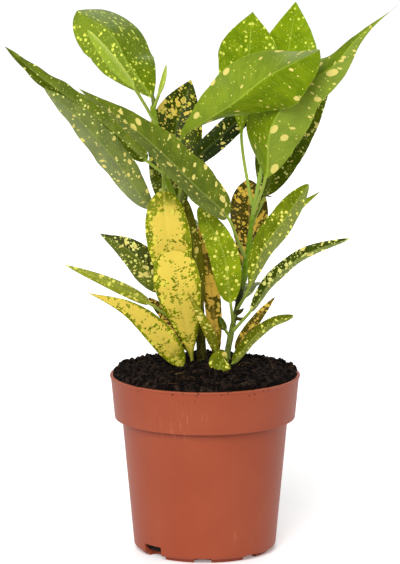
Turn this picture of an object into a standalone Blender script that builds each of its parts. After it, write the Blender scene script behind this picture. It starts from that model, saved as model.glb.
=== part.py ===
"""Potted croton: a thin plastic nursery pot, its soil, two stems and their leaves.

The origin is the middle of the pot's base, +Z is up and the plant's front faces -Y.
Each leaf is one solid with its stalk, lofted along a smooth curve through a few points.
"""

import math
from collections import namedtuple

import bmesh
import bpy
from mathutils import Matrix, Vector, noise
from mathutils.geometry import interpolate_bezier, intersect_point_line

MM = 0.001

# Pot
RIM_RADIUS = 60.3 * MM
RIM_HEIGHT = 113 * MM
LIP_DEPTH = 1.6 * MM
COLLAR_TOP_RADIUS = 59.7 * MM
COLLAR_FOOT_RADIUS = 57.3 * MM
COLLAR_FOOT_HEIGHT = 85.5 * MM
COLLAR_STEP = 0.8 * MM
BODY_TOP_RADIUS = 52.6 * MM
BODY_FOOT_RADIUS = 45.4 * MM
BODY_FOOT_HEIGHT = 5 * MM
FOOT_STEP_RADIUS = 44.2 * MM
FOOT_STEP_HEIGHT = 2.6 * MM
FOOT_RADIUS = 41.5 * MM
WALL = 1.4 * MM
LIP_ROUNDING = 0.5 * MM
CORNER_STEPS = 3
BASE_RECESS = 2 * MM
FOOT_RING_WIDTH = 3.5 * MM
CENTRE_PAD_RADIUS = 12 * MM
POT_SIDES = 48
SLOT_COUNT = 8
SLOT_WIDTH = 11 * MM
SLOT_HEIGHT = 3.4 * MM
SLOT_DEPTH = 9 * MM
TALL_SLOTS = (3, 7)
TALL_SLOT_WIDTH = 15 * MM
TALL_SLOT_HEIGHT = 8.5 * MM
SLOT_TURN = math.radians(-2)

# Soil
SOIL_EDGE_HEIGHT = 111.8 * MM
SOIL_MOUND = 8.5 * MM
LUMP_HEIGHT = 1 * MM
LUMP_SIZE = 11 * MM
SOIL_RINGS = 6

# Plant
STEM_SIDES = 10
STEM_STATIONS = 18
STALK_RADIUS = 0.95 * MM
STALK_STATIONS = 3
BLADE_STATIONS = 10
BLADE_THICKNESS = 0.8 * MM
TIP_HALF_WIDTH = 0.4 * MM
TIP_PART = 0.4  # share of the blade beyond which it narrows to its tip
PATH_STEPS = 16
CLEARANCE = 0.4 * MM

FRONT = Vector((0, -1, 0))
UP = Vector((0, 0, 1))

# A leaf section's points as (share of the half width, side: 1 the face, -1 the back, 0 the edge).
SECTION = [(-1, 0), (-0.5, 1), (0, 1), (0.5, 1), (1, 0), (0.5, -1), (0, -1), (-0.5, -1)]

SOIL = "soil"
LEFT = "left_stem"
RIGHT = "right_stem"

TERRACOTTA = ((0.42, 0.11, 0.045), 0.45)
PEAT = ((0.017, 0.010, 0.008), 0.95)
BARK = ((0.07, 0.09, 0.02), 0.6)
SHOOT = ((0.20, 0.33, 0.06), 0.5)
YOUNG = ((0.20, 0.34, 0.02), 0.4)
GREEN = ((0.14, 0.26, 0.02), 0.4)
MATURE = ((0.06, 0.11, 0.01), 0.35)
DARK = ((0.03, 0.05, 0.008), 0.35)
GOLD = ((0.78, 0.60, 0.10), 0.4)
ORANGE = ((0.60, 0.32, 0.05), 0.4)

# A stem's path runs from inside the soil to its top, in millimetres.
Stem = namedtuple("Stem", "name colour foot_radius top_radius path")

STEMS = [
    Stem(LEFT, BARK, 3.3, 1.5,
         [(-2, 2, 98), (-2, 2, 122), (-3, 2, 141), (-4, 3, 166), (-10, 5, 198), (-18, 5, 220),
          (-25, 4, 240), (-30, 2, 265), (-33, 0, 285)]),
    Stem(RIGHT, SHOOT, 2.8, 1.3,
         [(14, 4, 98), (14, 4, 122), (17, 4, 140), (20, 4, 154), (24, 4, 169), (27, 5, 195),
          (30, 5, 214), (33, 5, 230), (36, 5, 246), (38, 5, 258)]),
]

# A leaf's path runs from its stem, or from inside the soil, along the stalk and the midrib to
# the tip, in millimetres. neck is the point of the path at which the blade begins. outline is
# how fast the blade widens from the neck and from the tip: below 1 is rounder, above 1 sharper.
# roll turns the blade about its midrib, in degrees, at the neck and at the tip: at 0 it faces
# the front, or up where faces says so. fold lifts both halves from flat, and lean is the share of
# the width by which one half is broader and the other narrower.
Leaf = namedtuple("Leaf",
                  "name grows_from colour half_width outline roll fold path neck faces lean",
                  defaults=(1, FRONT, 0))

LEAVES = [
    Leaf("left_crown_front_leaf", LEFT, YOUNG, 4.9, (0.6, 0.7), (-20, -20), 35,
         [(-30, 2, 271), (-44, -16, 297), (-59, -28, 318), (-72, -38, 335)]),
    Leaf("left_crown_rear_leaf", LEFT, YOUNG, 28.4, (1, 0.52), (12, 40), -37,
         [(-32, 0, 283), (-33, 5, 288), (-49, 13, 310), (-59, 21, 327), (-81, 26, 341)], lean=0.28),
    Leaf("left_crown_spear", LEFT, YOUNG, 1.7, (0.6, 0.8), (0, 0), 30,
         [(-32, 0, 283), (-29, -4, 291), (-26, -8, 301), (-24, -10, 311)]),
    Leaf("blotched_upper_leaf", LEFT, DARK, 17.5, (0.8, 1), (0, 0), 8,
         [(-13, 5, 207), (-21, 14, 231), (-18, 28, 268), (-9, 40, 296)]),
    Leaf("left_long_upper_leaf", LEFT, MATURE, 8.6, (0.38, 0.85), (35, 35), 10,
         [(-25, 4, 240), (-37, 10, 248), (-59, 20, 266), (-82, 26, 283), (-106, 30, 300),
          (-127, 32, 318)]),
    Leaf("left_long_lower_leaf", LEFT, MATURE, 10, (0.6, 0.8), (15, 30), 14,
         [(-17, 5, 217), (-33, -6, 220), (-54, -16, 249), (-79, -24, 279), (-99, -30, 298)]),
    Leaf("spotted_rear_leaf", LEFT, MATURE, 11.5, (0.6, 0.7), (0, 0), 10,
         [(-11, 5, 200), (-16, 15, 212), (-23, 26, 233), (-30, 36, 261)]),
    Leaf("hanging_gold_leaf", LEFT, GOLD, 14, (0.5, 0.6), (0, 0), 6,
         [(-26, 4, 244), (-26, -12, 232), (-24, -20, 212), (-21, -23, 193), (-18, -22, 169)]),
    Leaf("broad_crossing_leaf", LEFT, YOUNG, 23, (1.05, 0.6), (55, -56), -28,
         [(-24, 4, 236), (-16, -12, 263), (4, -22, 279), (18, -28, 289), (38, -36, 306),
          (70, -46, 323)]),
    Leaf("dark_centre_leaf", LEFT, MATURE, 7.5, (0.5, 0.6), (-20, -20), 12,
         [(-18, 5, 220), (-11, 15, 241), (13, 25, 264), (38, 35, 286)]),
    Leaf("left_folded_side_leaf", LEFT, MATURE, 11, (0.5, 1.1), (25, 25), 14,
         [(-3, 3, 144), (-25, 4, 166), (-46, 8, 189), (-67, 14, 201)]),
    Leaf("left_narrow_leaf", LEFT, GREEN, 4, (0.4, 0.9), (10, 10), 10,
         [(-2, 2, 134), (-35, -10, 160), (-58, -20, 174), (-88, -28, 188)]),
    Leaf("rear_upper_leaf", LEFT, MATURE, 11, (0.6, 0.7), (0, 0), 12,
         [(-9, 5, 193), (-11, 28, 198), (-16, 60, 200), (-22, 92, 196)], 1, UP),
    Leaf("rear_lower_leaf", LEFT, DARK, 10, (0.6, 0.7), (0, 0), 12,
         [(-3, 3, 153), (-6, 30, 158), (-11, 60, 161), (-16, 86, 156)], 1, UP),

    Leaf("left_crossing_leaf", RIGHT, MATURE, 14.5, (0.5, 1.1), (36, 40), 30,
         [(26, 5, 185), (20, -6, 201), (14, -16, 216), (-4, -28, 235), (-37, -42, 269),
          (-77, -54, 301)], 2),
    Leaf("front_green_leaf", RIGHT, GREEN, 9.5, (0.5, 0.6), (0, 0), 10,
         [(18, 4, 143), (16, -12, 161), (11, -18, 195), (-4, -14, 222)]),
    Leaf("orange_rear_leaf", RIGHT, ORANGE, 12.3, (1.7, 0.7), (0, 0), 8,
         [(21, 4, 158), (24, 15, 166), (28, 30, 200), (28, 38, 232)]),
    Leaf("right_green_leaf", RIGHT, GREEN, 9.6, (1, 0.7), (-25, -25), 24,
         [(20, 4, 153), (27, -8, 168), (36, -16, 195), (49, -24, 215), (64, -32, 239)]),
    Leaf("right_rear_leaf", RIGHT, GREEN, 4, (0.5, 1.2), (0, 0), 20,
         [(27, 5, 190), (36, 16, 196), (58, 30, 214), (75, 38, 225)]),
    Leaf("right_long_leaf", RIGHT, MATURE, 5.6, (0.45, 0.7), (-40, -40), 30,
         [(17, 4, 139), (29, -3, 154), (42, -10, 174), (62, -18, 192), (90, -26, 204)]),
    Leaf("small_dark_leaf", RIGHT, MATURE, 2.4, (0.5, 0.6), (0, 0), 12,
         [(16, 4, 136), (13, 0, 141), (11, -1, 145), (9, -1, 150)]),
    Leaf("rear_right_leaf", RIGHT, MATURE, 9, (0.6, 0.7), (0, 0), 12,
         [(19, 4, 149), (21, 28, 154), (27, 58, 160), (32, 86, 154)], 1, UP),
    Leaf("right_crown_left_leaf", RIGHT, YOUNG, 22, (1.4, 1.15), (-63, -7), 5,
         [(30, 5, 218), (23, 16, 262), (26, 24, 291), (28, 26, 315), (30, 22, 341)]),
    Leaf("right_crown_tall_leaf", RIGHT, YOUNG, 24.5, (0.75, 1.05), (-39, 3), 21,
         [(35, 5, 242), (46, 26, 260), (51, 44, 296), (58, 50, 345)], lean=0.06),
    Leaf("right_long_tip_leaf", RIGHT, YOUNG, 25.5, (0.96, 2.3), (-33, -45), -22,
         [(30, 5, 213), (38, -6, 239), (41, -18, 272), (58, -28, 298), (79, -29, 312),
          (93, -26, 328), (119, -22, 349)], lean=-0.21),
    Leaf("right_crown_dark_leaf", RIGHT, MATURE, 16, (0.7, 0.8), (0, 0), 8,
         [(29, 5, 207), (38, 20, 224), (48, 36, 252), (61, 52, 272), (80, 62, 294)]),

    Leaf("upright_gold_leaf", SOIL, GOLD, 14.5, (1.3, 0.4), (0, 0), 6,
         [(-8, -9, 112), (-8, -12, 122), (-11, -21, 144), (-17, -36, 176), (-20, -37, 198)]),
    Leaf("left_gold_foot_leaf", SOIL, GOLD, 8.2, (0.55, 1.3), (5, 20), 6,
         [(-11, -14, 112), (-14, -17, 121), (-31, -28, 146), (-49, -36, 162), (-74, -42, 173)]),
    Leaf("left_brown_foot_leaf", SOIL, ORANGE, 5, (0.5, 0.7), (0, 0), 8,
         [(-8, 10, 112), (-10, 11, 125), (-21, 18, 143), (-36, 28, 157)]),
    Leaf("olive_upright_leaf", SOIL, GREEN, 5.2, (0.6, 0.5), (10, 10), 8,
         [(-8, -3, 112), (-8, -3, 128), (-5, -7, 175), (-12, -2, 225)]),
    Leaf("orange_upright_leaf", SOIL, ORANGE, 5.4, (0.5, 0.5), (0, 0), 8,
         [(6, 4, 112), (7, 3, 122), (5, 0, 158), (1, 1, 184), (-3, 3, 210)]),
    Leaf("right_brown_leaf", SOIL, ORANGE, 3.6, (0.4, 0.8), (0, 0), 10,
         [(18, -3, 112), (20, -5, 129), (31, -10, 148), (44, -14, 165)]),
    Leaf("right_foot_leaf", SOIL, GREEN, 4.6, (0.3, 0.45), (-35, -35), 25,
         [(14, -6, 114), (18, -9, 122), (30, -18, 139), (42, -25, 150), (55, -32, 156)]),
    Leaf("front_olive_leaf", SOIL, GREEN, 3.6, (0.4, 1), (0, 0), 12,
         [(8, -12, 112), (7, -15, 130), (0, -32, 151), (-11, -46, 174)]),
    Leaf("front_curled_leaf", SOIL, GREEN, 7.5, (0.5, 0.45), (0, 0), 4,
         [(14, -12, 114), (14, -14, 122), (13, -18, 127), (10, -24, 125), (8, -28, 119)], 2),
]


def clear_scene():
    for obj in list(bpy.data.objects):
        bpy.data.objects.remove(obj)


def material(name, finish):
    colour, roughness = finish
    made = bpy.data.materials.new(name)
    made.use_nodes = True
    shader = made.node_tree.nodes["Principled BSDF"]
    shader.inputs["Base Color"].default_value = (*colour, 1)
    shader.inputs["Roughness"].default_value = roughness
    return made


def object_from(bm, name, finish, sharp_degrees=40):
    bmesh.ops.recalc_face_normals(bm, faces=bm.faces)
    mesh = bpy.data.meshes.new(name)
    bm.to_mesh(mesh)
    bm.free()
    mesh.shade_smooth()
    mesh.set_sharp_from_angle(angle=math.radians(sharp_degrees))
    mesh.materials.append(material(name, finish))
    obj = bpy.data.objects.new(name, mesh)
    bpy.context.scene.collection.objects.link(obj)
    return obj


def cut(obj, cutter):
    """Subtracts cutter from obj and keeps it as a wire guide."""
    cutter.hide_render = True
    cutter.display_type = "WIRE"
    boolean = obj.modifiers.new(cutter.name, "BOOLEAN")
    boolean.operation = "DIFFERENCE"
    boolean.solver = "EXACT"
    boolean.object = cutter


def loft(bm, rings):
    """Joins rings of points, each the same length, into one closed skin with flat ends.

    Faces in the second half of a ring start one corner later, so that a thin twisted blade is
    split along the same diagonals on its face and on its back.
    """
    skin = [[bm.verts.new(point) for point in ring] for ring in rings]
    count = len(skin[0])
    for lower, upper in zip(skin, skin[1:]):
        for i in range(count):
            j = (i + 1) % count
            corners = [lower[i], lower[j], upper[j], upper[i]]
            if i >= count // 2:
                corners = corners[1:] + corners[:1]
            bm.faces.new(corners)
    bm.faces.new(reversed(skin[0]))
    bm.faces.new(skin[-1])


def shares(count):
    return [i / count for i in range(count + 1)]


def blend(start, end, share):
    return start + (end - start) * share


def turned(bm, profile):
    """A solid of revolution, from (radius, height) points that start and end near the axis."""
    turns = [math.tau * share for share in shares(POT_SIDES)[:-1]]
    loft(bm, [[Vector((radius * math.cos(turn), radius * math.sin(turn), height)) for turn in turns]
              for radius, height in profile])


def outside_profile():
    """The pot's outer face as (radius, height) points, from the base's centre up to the rim."""
    ring_start = FOOT_RADIUS - FOOT_RING_WIDTH
    profile = [
        (CENTRE_PAD_RADIUS, 0),
        (CENTRE_PAD_RADIUS + BASE_RECESS, BASE_RECESS),
        (ring_start - BASE_RECESS, BASE_RECESS),
        (ring_start, 0),
        (FOOT_RADIUS, 0),
        (FOOT_RADIUS, FOOT_STEP_HEIGHT),
    ]
    for share in shares(CORNER_STEPS):
        turn = share * math.pi / 2
        profile.append((blend(FOOT_STEP_RADIUS, BODY_FOOT_RADIUS, math.sin(turn)),
                        blend(BODY_FOOT_HEIGHT, FOOT_STEP_HEIGHT, math.cos(turn))))
    return profile + [
        (BODY_TOP_RADIUS, COLLAR_FOOT_HEIGHT - COLLAR_STEP),
        (COLLAR_FOOT_RADIUS, COLLAR_FOOT_HEIGHT),
        (COLLAR_TOP_RADIUS, RIM_HEIGHT - LIP_DEPTH),
        (RIM_RADIUS, RIM_HEIGHT - LIP_DEPTH + LIP_ROUNDING),
        (RIM_RADIUS, RIM_HEIGHT - LIP_ROUNDING),
        (RIM_RADIUS - LIP_ROUNDING, RIM_HEIGHT),
    ]


def inside_profile():
    """The pot's inner face as (radius, height) points, from the rim down to the floor's edge."""
    return [
        (COLLAR_TOP_RADIUS - WALL, RIM_HEIGHT),
        (COLLAR_FOOT_RADIUS - WALL, COLLAR_FOOT_HEIGHT + WALL),
        (BODY_TOP_RADIUS - WALL, COLLAR_FOOT_HEIGHT - COLLAR_STEP + WALL),
        (BODY_FOOT_RADIUS - WALL, BODY_FOOT_HEIGHT + WALL),
        (FOOT_RADIUS, FOOT_STEP_HEIGHT + WALL),
    ]


def make_pot():
    bm = bmesh.new()
    turned(bm, outside_profile() + inside_profile() + [(CENTRE_PAD_RADIUS, FOOT_STEP_HEIGHT + WALL)])
    pot = object_from(bm, "pot", TERRACOTTA, 25)
    for i in range(SLOT_COUNT):
        cut(pot, drain_slot(i))


def drain_slot(index):
    """A cutter through the corner of the base, where water drains out."""
    width, height = SLOT_WIDTH, SLOT_HEIGHT
    if index in TALL_SLOTS:
        width, height = TALL_SLOT_WIDTH, TALL_SLOT_HEIGHT
    bm = bmesh.new()
    bmesh.ops.create_cube(bm, size=1)
    bmesh.ops.scale(bm, vec=(width, SLOT_DEPTH, 2 * height), verts=bm.verts)
    slot = object_from(bm, f"drain_slot_{index + 1}", TERRACOTTA)
    turn = Matrix.Rotation(SLOT_TURN + math.tau * index / SLOT_COUNT, 4, "Z")
    slot.matrix_world = turn @ Matrix.Translation((0, -FOOT_RADIUS, 0))
    return slot


def soil_height(x, y, edge_radius):
    """The soil's surface: a mound round the stems, with lumps."""
    out = min(math.hypot(x, y) / edge_radius, 1)
    mound = SOIL_MOUND * (1 + math.cos(math.pi * out)) / 2
    lump = LUMP_HEIGHT * noise.noise(Vector((x, y, 0)) / LUMP_SIZE)
    return SOIL_EDGE_HEIGHT + mound + lump


def make_soil(sockets):
    wall = [(radius - CLEARANCE, height + CLEARANCE) for radius, height in inside_profile()[:0:-1]]
    shelf = COLLAR_FOOT_HEIGHT + WALL
    edge_share = (SOIL_EDGE_HEIGHT - shelf) / (RIM_HEIGHT - shelf)
    edge = blend(COLLAR_FOOT_RADIUS, COLLAR_TOP_RADIUS, edge_share) - WALL - CLEARANCE
    surface = [(edge * share, SOIL_EDGE_HEIGHT) for share in shares(SOIL_RINGS)[:0:-1]]
    bm = bmesh.new()
    turned(bm, [(CENTRE_PAD_RADIUS, wall[0][1])] + wall + surface)
    for vert in list(bm.verts)[-len(surface) * POT_SIDES:]:
        vert.co.z = soil_height(vert.co.x, vert.co.y, edge)
    soil = object_from(bm, SOIL, PEAT)
    for socket in sockets:
        cut(soil, socket)


def smooth_path(path):
    """Closely spaced points on a smooth curve through the points of a path in millimetres."""
    points = [Vector(point) * MM for point in path]
    ways = directions(points)
    curve = [points[0]]
    for start, end, leaving, reaching in zip(points, points[1:], ways, ways[1:]):
        handle = (end - start).length / 3
        curve += interpolate_bezier(start, start + leaving * handle, end - reaching * handle, end,
                                    PATH_STEPS + 1)[1:]
    return curve


def directions(line):
    """The way a line runs at each of its points."""
    ends = [line[0]] + line + [line[-1]]
    return [(after - before).normalized() for before, after in zip(ends, ends[2:])]


def along(line, parts):
    """The points that lie at these shares of a line's length."""
    reached = [0.0]
    for start, end in zip(line, line[1:]):
        reached.append(reached[-1] + (end - start).length)
    found = []
    for part in parts:
        at = part * reached[-1]
        i = next((i for i, length in enumerate(reached[1:]) if length >= at), len(line) - 2)
        found.append(line[i].lerp(line[i + 1], (at - reached[i]) / (reached[i + 1] - reached[i])))
    return found


def stem_line(stem):
    """Points along a stem's middle, each with the stem's radius there."""
    parts = shares(STEM_STATIONS)
    radii = [blend(stem.foot_radius, stem.top_radius, part) * MM for part in parts]
    return list(zip(along(smooth_path(stem.path), parts), radii))


def make_stem(stem, name, grow=0.0):
    centres, radii = map(list, zip(*stem_line(stem)))
    ways = directions(centres)
    centres[0] -= ways[0] * grow
    centres[-1] += ways[-1] * grow
    rings = []
    for centre, radius, way in zip(centres, radii, ways):
        spoke = way.cross(FRONT).normalized() * (radius + grow)
        turns = [math.tau * share for share in shares(STEM_SIDES)[:-1]]
        rings.append([centre + Matrix.Rotation(turn, 3, way) @ spoke for turn in turns])
    bm = bmesh.new()
    loft(bm, rings)
    return object_from(bm, name, stem.colour)


def distance(point, start, end):
    """How far a point is from the straight piece between start and end."""
    _, share = intersect_point_line(point, start, end)
    return (point - start.lerp(end, min(max(share, 0), 1))).length


def clear_of_stem(line, stem):
    """Drops the start of a leaf's line that would lie in its stem."""
    pieces = list(zip(stem_line(stem), stem_line(stem)[1:]))
    kept = list(line)
    while any(distance(kept[0], start, end) < radius + STALK_RADIUS + CLEARANCE
              for (start, radius), (end, _) in pieces):
        kept.pop(0)
    return kept


def leaf_width(leaf, part):
    """The blade's half width at a share of its length."""
    neck, tip = leaf.outline
    widest = neck / (neck + tip)
    return leaf.half_width * MM * (part / widest) ** neck * ((1 - part) / (1 - widest)) ** tip


def leaf_section(leaf, part, centre, way, grow):
    """Eight points round a leaf: a round stalk that flattens into a folded, lens-shaped blade."""
    width = leaf_width(leaf, part)
    flat = min(1, width / (4 * STALK_RADIUS))
    thickness = blend(2 * STALK_RADIUS, BLADE_THICKNESS, flat)
    least = STALK_RADIUS
    if part > TIP_PART:
        least = TIP_HALF_WIDTH
        thickness = min(BLADE_THICKNESS, 2 * max(width, least))
    half_width = max(width, least) + grow
    fold = math.radians(leaf.fold) * flat
    roll = math.radians(blend(leaf.roll[0], leaf.roll[1], part * part * (3 - 2 * part)))
    facing = (leaf.faces - way * way.dot(leaf.faces)).normalized()
    out = Matrix.Rotation(roll, 3, way) @ facing
    side = way.cross(out)
    section = []
    for across, face in SECTION:
        reach = across * half_width * (1 + leaf.lean * math.copysign(1, across))
        rise = abs(reach) * math.sin(fold)
        rise += face * math.sqrt(1 - across * across) * (thickness / 2 + grow)
        section.append(centre + side * (reach * math.cos(fold)) + out * rise)
    return section


def make_leaf(leaf, stem, name, grow=0.0):
    line = smooth_path(leaf.path)
    neck = leaf.neck * PATH_STEPS
    stalk = clear_of_stem(line[:neck + 1], stem) if stem else line[:neck + 1]
    blade_parts = [(1 - math.cos(math.pi * share)) / 2 for share in shares(BLADE_STATIONS)]
    centres = along(stalk, shares(STALK_STATIONS)[:-1]) + along(line[neck:], blade_parts)
    ways = directions(centres)
    centres[0] -= ways[0] * grow
    parts = [0] * STALK_STATIONS + blade_parts
    bm = bmesh.new()
    loft(bm, [leaf_section(leaf, part, centre, way, grow)
              for part, centre, way in zip(parts, centres, ways)])
    bmesh.ops.triangulate(bm, faces=bm.faces, quad_method="FIXED")
    return object_from(bm, name, leaf.colour)


def main():
    clear_scene()
    make_pot()
    stems = {stem.name: stem for stem in STEMS}
    for stem in STEMS:
        make_stem(stem, stem.name)
    for leaf in LEAVES:
        make_leaf(leaf, stems.get(leaf.grows_from), leaf.name)
    sockets = [make_stem(stem, f"{stem.name}_socket", CLEARANCE) for stem in STEMS]
    sockets += [make_leaf(leaf, None, f"{leaf.name}_socket", CLEARANCE)
                for leaf in LEAVES if leaf.grows_from == SOIL]
    make_soil(sockets)


main()
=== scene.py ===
import math

import bmesh
import bpy
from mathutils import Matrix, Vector, noise
from mathutils.geometry import interpolate_bezier


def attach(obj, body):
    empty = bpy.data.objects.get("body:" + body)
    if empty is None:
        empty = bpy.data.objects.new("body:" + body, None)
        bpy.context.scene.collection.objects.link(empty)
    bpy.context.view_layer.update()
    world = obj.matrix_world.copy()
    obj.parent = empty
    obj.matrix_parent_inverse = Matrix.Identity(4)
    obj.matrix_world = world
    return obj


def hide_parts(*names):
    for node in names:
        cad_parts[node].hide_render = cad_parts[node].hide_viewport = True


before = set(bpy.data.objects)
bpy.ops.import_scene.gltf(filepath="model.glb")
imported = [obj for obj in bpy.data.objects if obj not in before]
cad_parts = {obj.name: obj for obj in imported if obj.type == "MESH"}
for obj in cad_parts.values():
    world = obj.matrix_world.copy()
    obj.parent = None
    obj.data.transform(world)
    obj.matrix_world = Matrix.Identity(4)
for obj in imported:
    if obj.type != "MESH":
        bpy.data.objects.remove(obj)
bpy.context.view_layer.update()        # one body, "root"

# A young spotted croton in a thin plastic nursery pot.
# The tables of pieces are in millimetres and degrees; the scene, the studio and the inputs of
# the geometry trees are in metres, and these inputs' angles in radians.
mm = 0.001
body = "root"
front = (0.0, -1.0, 0.0)
up = (0.0, 0.0, 1.0)
weld = 0.002 * mm        # points closer than this become one
curveSteps = 16          # straight bits between two points of a route
scene = bpy.context.scene


def operator(name):
    # an operator on wires and its reflected form, for a number on the left
    return (lambda self, other: self.math(name, self, other),
            lambda self, other: self.math(name, other, self))


class Wire:
    # a node's output, in a shader tree or a geometry tree, so that nodes are written as sums
    def __init__(self, tree, socket=None):
        self.tree = tree
        self.socket = socket

    def node(self, kind, sockets=None, out=0, **settings):
        made = self.tree.nodes.new(kind)
        for name, value in settings.items():
            setattr(made, name, value)
        for name, value in (sockets or {}).items():
            self.feed(made.inputs[name], value)
        return Wire(self.tree, made.outputs[out])

    def feed(self, target, value):
        if isinstance(value, Wire):
            self.tree.links.new(value.socket, target)
        else:
            target.default_value = value

    def output(self, name):
        return Wire(self.tree, self.socket.node.outputs[name])

    def math(self, operation, *values):
        return self.node("ShaderNodeMath", dict(enumerate(values)), operation=operation)

    def vector(self, operation, other=None, out=0):
        values = {0: self} if other is None else {0: self, 1: other}
        return self.node("ShaderNodeVectorMath", values, out, operation=operation)

    def plus(self, other):
        return self.vector("ADD", other)

    def crossed(self, other):
        return self.vector("CROSS_PRODUCT", other)

    def unit(self):
        return self.vector("NORMALIZE")

    __add__, __radd__ = operator("ADD")
    __sub__, __rsub__ = operator("SUBTRACT")
    __mul__, __rmul__ = operator("MULTIPLY")
    __truediv__, __rtruediv__ = operator("DIVIDE")
    __pow__, __rpow__ = operator("POWER")

    def __abs__(self):
        return self.math("ABSOLUTE", self)

    def sin(self):
        return self.math("SINE", self)

    def cos(self):
        return self.math("COSINE", self)

    def sign(self):
        return self.math("SIGN", self)

    def atMost(self, other):
        return self.math("MINIMUM", self, other)

    def atLeast(self, other):
        return self.math("MAXIMUM", self, other)

    def above(self, other):
        return self.math("GREATER_THAN", self, other)

    def below(self, other):
        return self.math("LESS_THAN", self, other)

    def scaled(self, by):
        return self.node("ShaderNodeVectorMath", {0: self, 3: by}, operation="SCALE")

    def split(self):
        parts = self.node("ShaderNodeSeparateXYZ", {0: self})
        return parts, parts.output("Y"), parts.output("Z")

    def joined(self, x, y, z):
        return self.node("ShaderNodeCombineXYZ", {0: x, 1: y, 2: z})

    def rise(self, low, high):
        # 0 below low and 1 above high, with a soft step between; it falls if low is above high
        return self.node("ShaderNodeMapRange", {0: self, 1: low, 2: high, 3: 0.0, 4: 1.0},
                         interpolation_type="SMOOTHSTEP")

    def mixed(self, share, other):
        # this colour, with a share of the other one
        return self.node("ShaderNodeMix", {0: share, 6: self, 7: other}, 2, data_type="RGBA")

    def clouds(self, scale, detail=2.0, roughness=0.5):
        return self.node("ShaderNodeTexNoise", {
            "Vector": self, "Scale": scale, "Detail": detail, "Roughness": roughness})

    def cells(self, scale):
        # how far each point is from the middle of its cell
        return self.node("ShaderNodeTexVoronoi", {"Vector": self, "Scale": scale})

    def attribute(self, name):
        return self.node("ShaderNodeAttribute", out="Vector", attribute_name=name)

    def place(self):
        return self.node("ShaderNodeTexCoord", out="Object")


def tone(red, green, blue):
    # a colour given as screens give it, 0 to 255, in the light values that a shader takes
    def light(level):
        level /= 255
        return level / 12.92 if level <= 0.04045 else ((level + 0.055) / 1.055) ** 2.4
    return (light(red), light(green), light(blue), 1.0)


def colour(wire, value):
    # a fixed colour as a wire, for a mix that starts from it
    return wire.node("ShaderNodeMix", {0: 0.0, 6: value, 7: value}, 2, data_type="RGBA")


def newMaterial(name, **fixed):
    made = bpy.data.materials.new(name)
    made.use_nodes = True
    shader = made.node_tree.nodes["Principled BSDF"]
    for socket, value in fixed.items():
        shader.inputs[socket.replace("_", " ")].default_value = value
    return made, Wire(made.node_tree), shader.inputs


def dressed(start, shader, shown, rough, strength, depth, height):
    # what varies over a surface: its colour, its roughness and its fine relief
    relief = start.node("ShaderNodeBump", {
        "Strength": strength, "Distance": depth * mm, "Height": height})
    for socket, value in (("Base Color", shown), ("Roughness", rough), ("Normal", relief)):
        start.feed(shader[socket], value)


def newTree(name, given):
    # a geometry tree with these named inputs; None stands for a material
    tree = bpy.data.node_groups.new(name, "GeometryNodeTree")
    kinds = {int: "NodeSocketInt", float: "NodeSocketFloat", tuple: "NodeSocketVector",
             type(None): "NodeSocketMaterial"}
    tree.interface.new_socket("Geometry", in_out="INPUT", socket_type="NodeSocketGeometry")
    for label, value in given.items():
        socket = tree.interface.new_socket(label, in_out="INPUT", socket_type=kinds[type(value)])
        if value is not None:
            socket.default_value = value
    tree.interface.new_socket("Geometry", in_out="OUTPUT", socket_type="NodeSocketGeometry")
    return tree, Wire(tree).node("NodeGroupInput")


def tubeGrid(start, around, along):
    # a flat grid to wrap round a route: each point's turn, its share of the route, 0 at the ends
    grid = start.node("GeometryNodeMeshGrid", {
        "Size X": 1.0, "Size Y": 1.0,
        "Vertices X": start.output(around) + 1.0, "Vertices Y": start.output(along) + 1.0})
    u, v, _ = start.node("GeometryNodeInputPosition").split()
    v = v + 0.5
    ends = v.above(0.0001) * v.below(0.9999)
    return grid, (u + 0.5) * math.tau, v, ends


def wrapped(start, shape, place, marks):
    # keeps the marks on the grid's points, moves these to their places and closes the tube
    for name, value in marks.items():
        shape = start.node("GeometryNodeStoreNamedAttribute", {
            "Geometry": shape, "Name": name, "Value": value}, data_type="FLOAT_VECTOR")
    shape = start.node("GeometryNodeSetPosition", {"Geometry": shape, "Position": place})
    return start.node("GeometryNodeMergeByDistance", {"Geometry": shape, "Distance": weld})


def endTree(start, shape):
    # the last nodes of each tree: real geometry, smooth, with its finish
    shape = start.node("GeometryNodeRealizeInstances", {"Geometry": shape})
    shape = start.node("GeometryNodeSetShadeSmooth", {"Geometry": shape})
    shape = start.node("GeometryNodeSetMaterial", {
        "Geometry": shape, "Material": start.output("Finish")})
    end = start.tree.nodes.new("NodeGroupOutput")
    start.feed(end.inputs[0], shape)


def asSocket(kind, value):
    # a table's whole numbers become the fractions that a socket takes
    if kind == "NodeSocketFloat":
        return float(value)
    if kind == "NodeSocketVector":
        return tuple(map(float, value))
    return value


def grown(name, host, tree, values):
    # runs a geometry tree on a host object and keeps the result as a plain mesh
    modifier = host.modifiers.new(tree.name, "NODES")
    modifier.node_group = tree
    for item in tree.interface.items_tree:
        if item.in_out == "INPUT" and item.name in values:
            modifier[item.identifier] = asSocket(item.socket_type, values[item.name])
    view = bpy.context.evaluated_depsgraph_get()
    mesh = bpy.data.meshes.new_from_object(host.evaluated_get(view), depsgraph=view,
                                           preserve_all_data_layers=True)
    bpy.data.objects.remove(host)
    mesh.name = name
    return placed(name, mesh)


def placed(name, data):
    made = bpy.data.objects.new(name, data)
    scene.collection.objects.link(made)
    return made


def meshPiece(name, bm, material):
    mesh = bpy.data.meshes.new(name)
    bm.to_mesh(mesh)
    bm.free()
    mesh.materials.append(material)
    mesh.shade_smooth()
    return placed(name, mesh)


def finished(piece, slot, *nodes):
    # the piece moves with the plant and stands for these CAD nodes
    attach(piece, body)
    if nodes:
        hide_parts(*nodes)


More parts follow.
